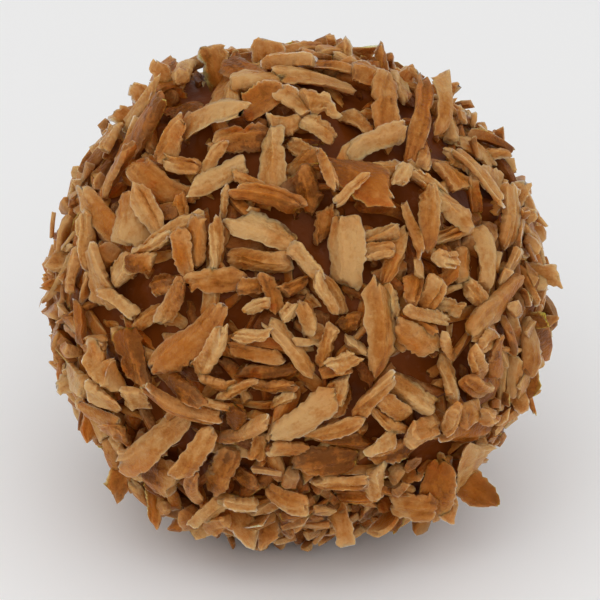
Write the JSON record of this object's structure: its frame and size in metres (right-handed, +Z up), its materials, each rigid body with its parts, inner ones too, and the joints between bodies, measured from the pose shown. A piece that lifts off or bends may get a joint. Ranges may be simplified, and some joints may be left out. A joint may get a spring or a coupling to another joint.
{
  "type": "chocolate truffle",
  "caption": "Round chocolate truffle rolled in chopped toasted coconut, resting on a small flat foot.",
  "frame": {"origin": "centre of the small flat foot that the truffle rests on", "axes": "+Z up, the front is towards -Y, +X to the right seen from the front"},
  "size_m": [0.0332, 0.032, 0.031],
  "materials": {
    "toasted_coconut": "matte, fibrous, from pale tan to golden and orange-brown where toasted",
    "milk_chocolate": "satin, slightly bloomed, seen between the flakes"
  },
  "bodies": {
    "root": {"truffle": "toasted_coconut"}
  },
  "joints": []
}
